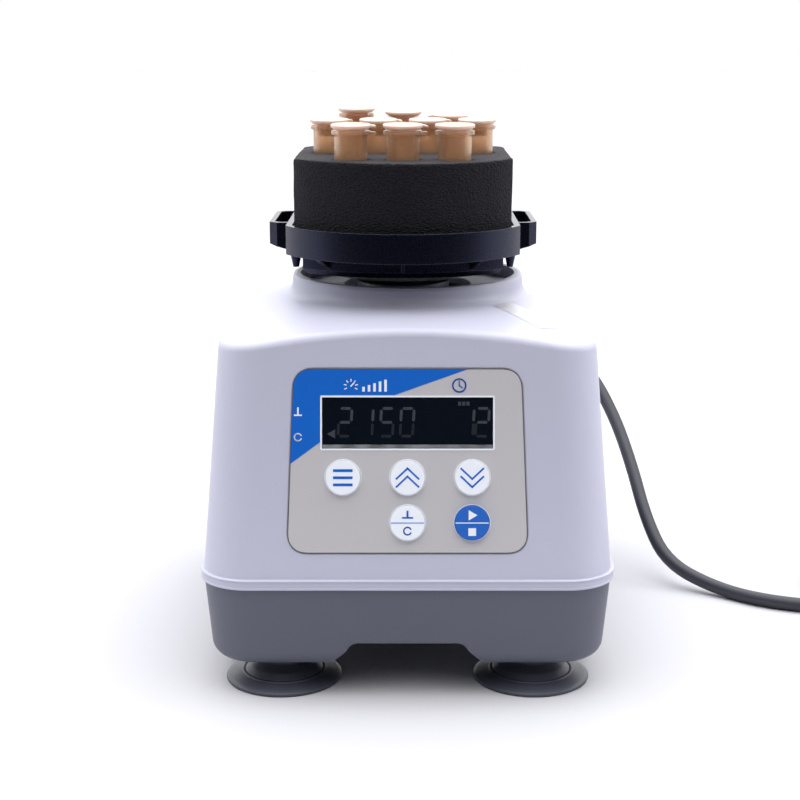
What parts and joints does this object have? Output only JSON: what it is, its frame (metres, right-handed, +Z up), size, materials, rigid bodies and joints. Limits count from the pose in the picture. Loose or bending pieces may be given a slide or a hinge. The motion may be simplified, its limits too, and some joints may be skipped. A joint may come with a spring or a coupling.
{
  "type": "multi-tube vortex mixer",
  "caption": "Bench vortex mixer: drafted two-part housing with keypad and display on suction feet, orbiting tray with a foam insert holding flip-cap tubes, mains lead.",
  "frame": {"origin": "on the bench, under the axis of the motor, at the centre of the housing's footprint, measured without the mains lead", "axes": "+Z up, -Y towards the keypad and the user, +X to the user's right"},
  "size_m": [0.2911, 0.2016, 0.1793],
  "materials": {
    "housing_white": "satin white moulded ABS",
    "base_grey": "fine-textured grey moulded ABS",
    "tray_black": "satin black moulded ABS",
    "foam_black": "black closed-cell foam, cut face",
    "tube_amber": "translucent amber polypropylene",
    "cup_rubber": "dark grey rubber",
    "panel_beige": "printed polyester film",
    "window_dark": "clear window over a dark display",
    "key_white": "white key cap",
    "key_blue": "blue key cap",
    "board_green": "circuit board",
    "steel": "zinc-plated steel",
    "aluminium": "machined aluminium",
    "cast": "cast iron ballast",
    "brass_pins": "plated brass",
    "black_plastic": "black nylon",
    "cord_grey": "grey PVC sheath",
    "switch_black": "gloss black rocker"
  },
  "bodies": {
    "housing": {"base_housing": "base_grey", "top_housing": "housing_white", "ballast_plates": "cast", "suction_feet": "cup_rubber", "foot_studs": "steel", "housing_screws": "steel", "keypad_panel": "panel_beige", "lcd_window": "window_dark", "lcd_module": "black_plastic", "control_board": "board_green", "key_switches": "black_plastic", "power_switch_bezel": "black_plastic", "cord_gland": "black_plastic", "power_supply_board": "board_green", "guide_posts": "steel", "touch_switch": "black_plastic", "cord_run": "cord_grey", "cord_coil": "cord_grey", "mains_plug": "black_plastic", "plug_pins": "brass_pins"},
    "carriage": {"motor_plate": "steel", "motor": "steel", "motor_screws": "steel", "carriage_springs": "steel"},
    "rotor": {"motor_shaft": "steel", "eccentric_hub": "steel", "counterweight": "cast", "rotor_screws": "steel", "bearing_inner": "steel"},
    "tray": {"tray": "tray_black", "tray_screws": "steel", "tray_hub": "aluminium", "bearing_outer": "steel"},
    "foam": {"foam_insert": "foam_black"},
    "rocker": {"power_rocker": "switch_black"},
    "menu_button": {"menu_button": "key_white"},
    "up_button": {"up_button": "key_white"},
    "down_button": {"down_button": "key_white"},
    "mode_button": {"mode_button": "key_white"},
    "start_stop_button": {"start_stop_button": "key_blue"},
    "tube_1": {"tube_1": "tube_amber"},
    "cap_1": {"cap_1": "tube_amber"},
    "tube_2": {"tube_2": "tube_amber"},
    "cap_2": {"cap_2": "tube_amber"},
    "tube_3": {"tube_3": "tube_amber"},
    "cap_3": {"cap_3": "tube_amber"},
    "tube_4": {"tube_4": "tube_amber"},
    "cap_4": {"cap_4": "tube_amber"},
    "tube_5": {"tube_5": "tube_amber"},
    "cap_5": {"cap_5": "tube_amber"},
    "tube_6": {"tube_6": "tube_amber"},
    "cap_6": {"cap_6": "tube_amber"},
    "tube_7": {"tube_7": "tube_amber"},
    "cap_7": {"cap_7": "tube_amber"},
    "tube_8": {"tube_8": "tube_amber"},
    "cap_8": {"cap_8": "tube_amber"},
    "tube_9": {"tube_9": "tube_amber"},
    "cap_9": {"cap_9": "tube_amber"},
    "tube_10": {"tube_10": "tube_amber"},
    "cap_10": {"cap_10": "tube_amber"}
  },
  "joints": [
    {"name": "head_press", "type": "slide", "parent": "housing", "child": "carriage", "axis": [0, 0, -1], "range_m": [0, 0.0015], "stiffness_N_per_m": 8000, "springref_m": -0.0025, "deforming": ["carriage_springs"]},
    {"name": "motor_spin", "type": "hinge", "parent": "carriage", "child": "rotor", "pos_m": [0, 0, 0.07], "axis": [0, 0, 1], "continuous": true},
    {"name": "tray_orbit", "type": "hinge", "parent": "rotor", "child": "tray", "pos_m": [-0.0015, 0, 0.108], "axis": [0, 0, 1], "continuous": true},
    {"name": "foam_lift", "type": "slide", "parent": "tray", "child": "foam", "axis": [0, 0, 1], "range_m": [0, 0.04]},
    {"name": "tube_1_lift", "type": "slide", "parent": "foam", "child": "tube_1", "axis": [0, 0, 1], "range_m": [0, 0.045]},
    {"name": "cap_1_flip", "type": "hinge", "parent": "tube_1", "child": "cap_1", "pos_m": [-0.01028, -0.02987, 0.1753], "axis": [-0.1392, 0.9903, 0], "range_deg": [0, 95]},
    {"name": "tube_2_lift", "type": "slide", "parent": "foam", "child": "tube_2", "axis": [0, 0, 1], "range_m": [0, 0.045]},
    {"name": "cap_2_flip", "type": "hinge", "parent": "tube_2", "child": "cap_2", "pos_m": [0.00642, -0.02932, 0.1753], "axis": [-0.2079, 0.9781, 0], "range_deg": [0, 95]},
    {"name": "tube_3_lift", "type": "slide", "parent": "foam", "child": "tube_3", "axis": [0, 0, 1], "range_m": [0, 0.045]},
    {"name": "cap_3_flip", "type": "hinge", "parent": "tube_3", "child": "cap_3", "pos_m": [0.0174, -0.02318, 0.1753], "axis": [-0.9659, 0.2588, 0], "range_deg": [0, 95]},
    {"name": "tube_4_lift", "type": "slide", "parent": "foam", "child": "tube_4", "axis": [0, 0, 1], "range_m": [0, 0.045]},
    {"name": "cap_4_flip", "type": "hinge", "parent": "tube_4", "child": "cap_4", "pos_m": [-0.01909, 0.00277, 0.1753], "axis": [-0.342, 0.9397, 0], "range_deg": [0, 95]},
    {"name": "tube_5_lift", "type": "slide", "parent": "foam", "child": "tube_5", "axis": [0, 0, 1], "range_m": [0, 0.045]},
    {"name": "cap_5_flip", "type": "hinge", "parent": "tube_5", "child": "cap_5", "pos_m": [-0.00183, 0.00071, 0.1753], "axis": [-0.0872, 0.9962, 0], "range_deg": [0, 95]},
    {"name": "tube_6_lift", "type": "slide", "parent": "foam", "child": "tube_6", "axis": [0, 0, 1], "range_m": [0, 0.045]},
    {"name": "cap_6_flip", "type": "hinge", "parent": "tube_6", "child": "cap_6", "pos_m": [0.01482, 0.00168, 0.1753], "axis": [-0.2079, 0.9781, 0], "range_deg": [0, 95]},
    {"name": "tube_7_lift", "type": "slide", "parent": "foam", "child": "tube_7", "axis": [0, 0, 1], "range_m": [0, 0.045]},
    {"name": "cap_7_flip", "type": "hinge", "parent": "tube_7", "child": "cap_7", "pos_m": [0.02299, 0.00807, 0.1753], "axis": [-0.9962, -0.0872, 0], "range_deg": [0, 95]},
    {"name": "tube_8_lift", "type": "slide", "parent": "foam", "child": "tube_8", "axis": [0, 0, 1], "range_m": [0, 0.045]},
    {"name": "cap_8_flip", "type": "hinge", "parent": "tube_8", "child": "cap_8", "pos_m": [-0.01901, 0.03907, 0.1777], "axis": [-0.9962, -0.0872, 0], "range_deg": [0, 95]},
    {"name": "tube_9_lift", "type": "slide", "parent": "foam", "child": "tube_9", "axis": [0, 0, 1], "range_m": [0, 0.045]},
    {"name": "cap_9_flip", "type": "hinge", "parent": "tube_9", "child": "cap_9", "pos_m": [-0.00009, 0.03898, 0.1765], "axis": [-0.9848, 0.1736, 0], "range_deg": [0, 95]},
    {"name": "tube_10_lift", "type": "slide", "parent": "foam", "child": "tube_10", "axis": [0, 0, 1], "range_m": [0, 0.045]},
    {"name": "cap_10_flip", "type": "hinge", "parent": "tube_10", "child": "cap_10", "pos_m": [0.00723, 0.03171, 0.1753], "axis": [-0.0872, -0.9962, 0], "range_deg": [0, 95]},
    {"name": "menu_button_press", "type": "slide", "parent": "housing", "child": "menu_button", "axis": [0, 0.9781, -0.2079], "range_m": [0, 0.0008], "stiffness_N_per_m": 1500, "springref_m": -0.0006},
    {"name": "up_button_press", "type": "slide", "parent": "housing", "child": "up_button", "axis": [0, 0.9781, -0.2079], "range_m": [0, 0.0008], "stiffness_N_per_m": 1500, "springref_m": -0.0006},
    {"name": "down_button_press", "type": "slide", "parent": "housing", "child": "down_button", "axis": [0, 0.9781, -0.2079], "range_m": [0, 0.0008], "stiffness_N_per_m": 1500, "springref_m": -0.0006},
    {"name": "mode_button_press", "type": "slide", "parent": "housing", "child": "mode_button", "axis": [0, 0.9781, -0.2079], "range_m": [0, 0.0008], "stiffness_N_per_m": 1500, "springref_m": -0.0006},
    {"name": "start_stop_button_press", "type": "slide", "parent": "housing", "child": "start_stop_button", "axis": [0, 0.9781, -0.2079], "range_m": [0, 0.0008], "stiffness_N_per_m": 1500, "springref_m": -0.0006},
    {"name": "power_rocker_tilt", "type": "hinge", "parent": "housing", "child": "rocker", "pos_m": [-0.038, 0.07699, 0.0577], "axis": [-1, 0, 0], "range_deg": [0, 8]}
  ],
  "couplings": [
    {"joint": "tray_orbit", "follows": "motor_spin", "ratio": -1}
  ]
}
